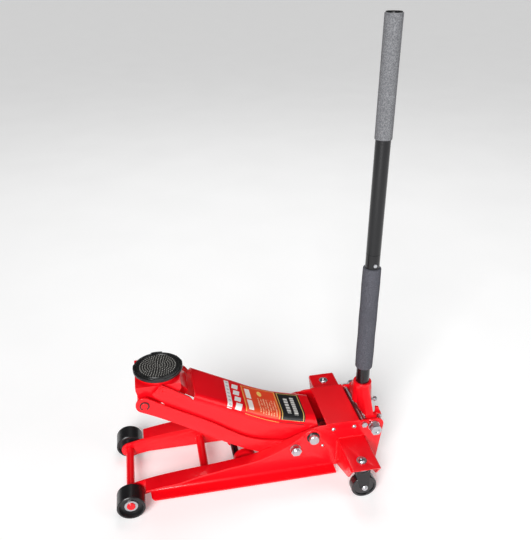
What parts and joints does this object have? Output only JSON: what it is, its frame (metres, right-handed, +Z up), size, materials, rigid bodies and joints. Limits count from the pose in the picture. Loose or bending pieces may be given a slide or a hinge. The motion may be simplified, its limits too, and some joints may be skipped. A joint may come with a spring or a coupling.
{
  "type": "trolley jack",
  "caption": "Low four-wheeled hydraulic trolley jack: curved lift arm with a round saddle between two side plates, rear casters and an upright pump handle.",
  "frame": {"origin": "on the floor under the centre of the whole jack's bounding box", "axes": "+Z up, -X towards the saddle end (front), -Y towards the left side plate; the jack stands on its four wheels"},
  "size_m": [0.6382, 0.3694, 1.0352],
  "materials": {
    "red_enamel": "gloss red enamel over steel",
    "black_enamel": "satin to gloss black enamel over steel",
    "zinc_plate": "bright zinc plated steel",
    "bare_steel": "oiled machined steel",
    "hard_chrome": "hard chrome plated rod",
    "spring_steel": "oil blackened spring wire",
    "pad_rubber": "moulded black rubber with raised nubs",
    "grip_foam": "matt dark grey closed cell foam",
    "upper_grip_foam": "matt speckled grey grip sleeve",
    "caster_plastic": "black moulded nylon wheel"
  },
  "bodies": {
    "chassis": {"side_plate_left": "red_enamel", "side_plate_right": "red_enamel", "front_axle": "red_enamel", "axle_washers": "zinc_plate", "front_cross_tie": "red_enamel", "arm_rest_tube": "black_enamel", "arm_rest_lugs": "red_enamel", "pivot_shaft": "zinc_plate", "pivot_circlips": "black_enamel", "shaft_lock_screws": "zinc_plate", "link_bolts": "zinc_plate", "rear_cover": "red_enamel", "cover_screws": "zinc_plate", "tie_shaft": "zinc_plate", "tie_bolts": "zinc_plate", "base_plate": "red_enamel", "ram_cylinder": "bare_steel", "power_unit": "red_enamel", "pump_barrel": "bare_steel", "socket_bolts": "zinc_plate", "caster_bracket_left": "red_enamel", "caster_bracket_right": "red_enamel", "caster_bolts": "zinc_plate", "bearing_cups": "zinc_plate", "return_springs": "spring_steel"},
    "front_wheel_left": {"front_wheel_left": "black_enamel"},
    "front_wheel_right": {"front_wheel_right": "black_enamel"},
    "arm": {"lift_arm": "red_enamel", "heel_pin": "bare_steel", "arm_pins": "red_enamel"},
    "links": {"link_left": "red_enamel", "link_right": "red_enamel", "link_pin": "red_enamel", "link_circlips": "black_enamel"},
    "bracket": {"saddle_bracket": "red_enamel"},
    "saddle": {"saddle_plate": "black_enamel", "saddle_pad": "pad_rubber"},
    "ram": {"ram": "hard_chrome"},
    "pump": {"pump_piston": "hard_chrome", "pump_spring": "spring_steel"},
    "socket": {"handle_socket": "red_enamel", "roller_pin": "zinc_plate", "latch_bolt": "zinc_plate", "latch_anchor": "zinc_plate"},
    "roller": {"pump_roller": "bare_steel"},
    "handle": {"lower_tube": "black_enamel", "upper_tube": "black_enamel", "joint_button": "zinc_plate", "lower_grip": "grip_foam", "upper_grip": "upper_grip_foam"},
    "valve": {"release_valve": "bare_steel"},
    "pawl": {"latch_pawl": "red_enamel"},
    "fork_left": {"caster_fork_left": "black_enamel", "caster_axle_left": "zinc_plate"},
    "fork_right": {"caster_fork_right": "black_enamel", "caster_axle_right": "zinc_plate"},
    "caster_left": {"caster_wheel_left": "caster_plastic"},
    "caster_right": {"caster_wheel_right": "caster_plastic"}
  },
  "joints": [
    {"name": "lift", "type": "hinge", "parent": "chassis", "child": "arm", "pos_m": [0.144, 0, 0.117], "axis": [0, 1, 0], "range_deg": [-28, 12], "deforming": ["return_springs"]},
    {"name": "link_turn", "type": "hinge", "parent": "chassis", "child": "links", "pos_m": [0.102, 0, 0.088], "axis": [0, 1, 0], "range_deg": [-28.5, 12.5]},
    {"name": "bracket_level", "type": "hinge", "parent": "arm", "child": "bracket", "pos_m": [-0.19152, 0, 0.2954], "axis": [0, 1, 0], "range_deg": [-12.5, 28.5]},
    {"name": "saddle_swivel", "type": "hinge", "parent": "bracket", "child": "saddle", "pos_m": [-0.19742, 0, 0.3218], "axis": [0, 0, 1], "continuous": true},
    {"name": "ram_slide", "type": "slide", "parent": "chassis", "child": "ram", "axis": [-1, 0, 0], "range_m": [-0.02903, 0.01261]},
    {"name": "front_wheel_left_spin", "type": "hinge", "parent": "chassis", "child": "front_wheel_left", "pos_m": [-0.287, -0.101, 0.032], "axis": [0, 1, 0], "continuous": true},
    {"name": "front_wheel_right_spin", "type": "hinge", "parent": "chassis", "child": "front_wheel_right", "pos_m": [-0.287, 0.101, 0.032], "axis": [0, 1, 0], "continuous": true},
    {"name": "caster_left_swivel", "type": "hinge", "parent": "chassis", "child": "fork_left", "pos_m": [0.236, -0.155, 0.0845], "axis": [0, 0, 1], "continuous": true},
    {"name": "caster_right_swivel", "type": "hinge", "parent": "chassis", "child": "fork_right", "pos_m": [0.236, 0.155, 0.0845], "axis": [0, 0, 1], "continuous": true},
    {"name": "caster_left_spin", "type": "hinge", "parent": "fork_left", "child": "caster_left", "pos_m": [0.243, -0.155, 0.03], "axis": [0, 1, 0], "continuous": true},
    {"name": "caster_right_spin", "type": "hinge", "parent": "fork_right", "child": "caster_right", "pos_m": [0.243, 0.155, 0.03], "axis": [0, 1, 0], "continuous": true},
    {"name": "handle_pump", "type": "hinge", "parent": "chassis", "child": "socket", "pos_m": [0.293, 0, 0.126], "axis": [0, 1, 0], "range_deg": [0, 70]},
    {"name": "pump_slide", "type": "slide", "parent": "chassis", "child": "pump", "axis": [-1, 0, 0], "range_m": [-0.0001, 0.02534], "deforming": ["pump_spring"]},
    {"name": "roller_spin", "type": "hinge", "parent": "socket", "child": "roller", "pos_m": [0.3054, 0, 0.10783], "axis": [0, 1, 0], "continuous": true},
    {"name": "handle_twist", "type": "hinge", "parent": "socket", "child": "handle", "pos_m": [0.28588, 0, 0.20609], "axis": [0.0122, 0, 0.9999], "range_deg": [0, 90]},
    {"name": "valve_turn", "type": "hinge", "parent": "chassis", "child": "valve", "pos_m": [0.287, 0.024, 0.068], "axis": [1, 0, 0], "range_deg": [-0.5, 90.5]},
    {"name": "catch_turn", "type": "hinge", "parent": "socket", "child": "pawl", "pos_m": [0.31117, -0.047, 0.13978], "axis": [0, 1, 0], "range_deg": [0, 30], "stiffness_Nm_per_rad": 0.3, "springref_deg": -5.73}
  ],
  "couplings": [
    {"joint": "link_turn", "follows": "lift", "ratio": 1},
    {"joint": "bracket_level", "follows": "lift", "ratio": -1},
    {"joint": "ram_slide", "follows": "lift", "m_per_rad": 0.058789},
    {"joint": "pump_slide", "follows": "handle_pump", "m_per_rad": 0.020657},
    {"joint": "valve_turn", "follows": "handle_twist", "ratio": 1}
  ]
}
